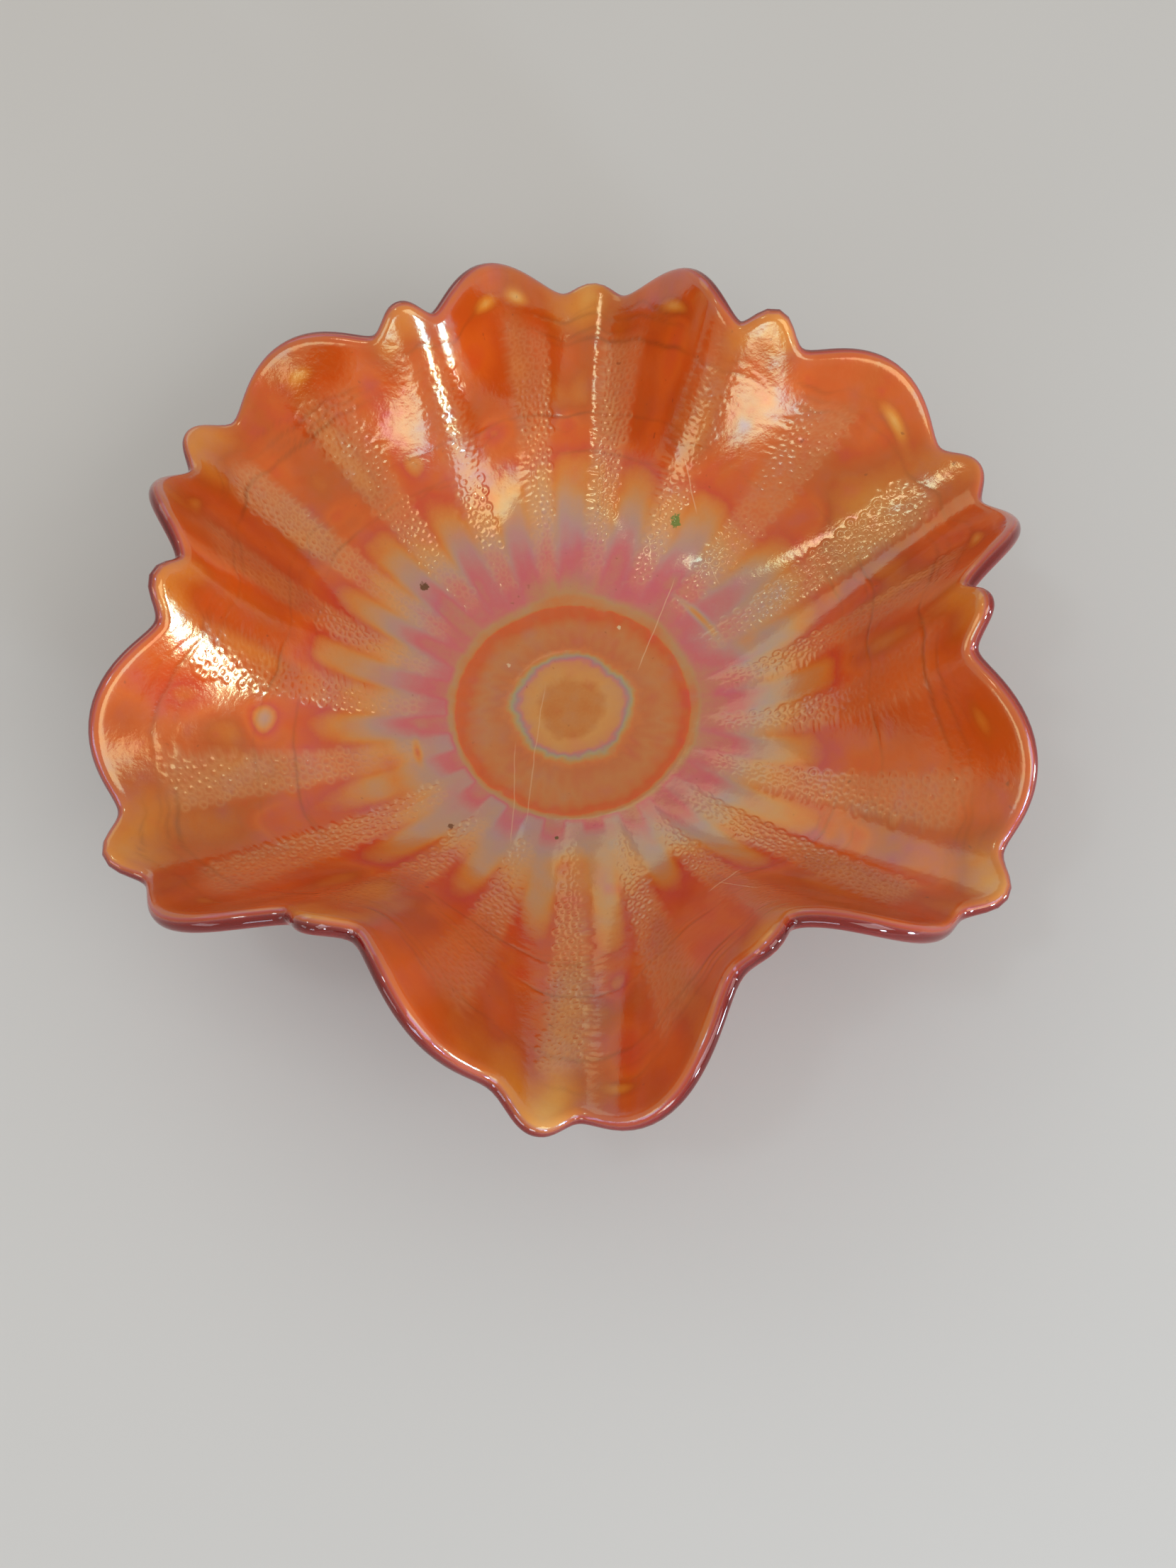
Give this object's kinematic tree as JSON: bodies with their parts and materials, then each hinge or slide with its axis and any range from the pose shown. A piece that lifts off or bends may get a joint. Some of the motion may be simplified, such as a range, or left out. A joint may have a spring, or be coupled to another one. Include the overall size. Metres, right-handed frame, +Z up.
{
  "type": "ruffled glass bowl",
  "caption": "Shallow pressed glass bowl with an iridescent orange inside, radiating rays, a ruffled scalloped rim and a low round foot.",
  "frame": {"origin": "middle of the foot's underside", "axes": "+Z up along the bowl's axis, +Y towards the middle of one of the low outward flares of the rim"},
  "size_m": [0.2108, 0.228, 0.0675],
  "materials": {
    "marigold_glass": "glossy iridescent"
  },
  "bodies": {
    "root": {"glass_bowl": "marigold_glass"}
  },
  "joints": []
}
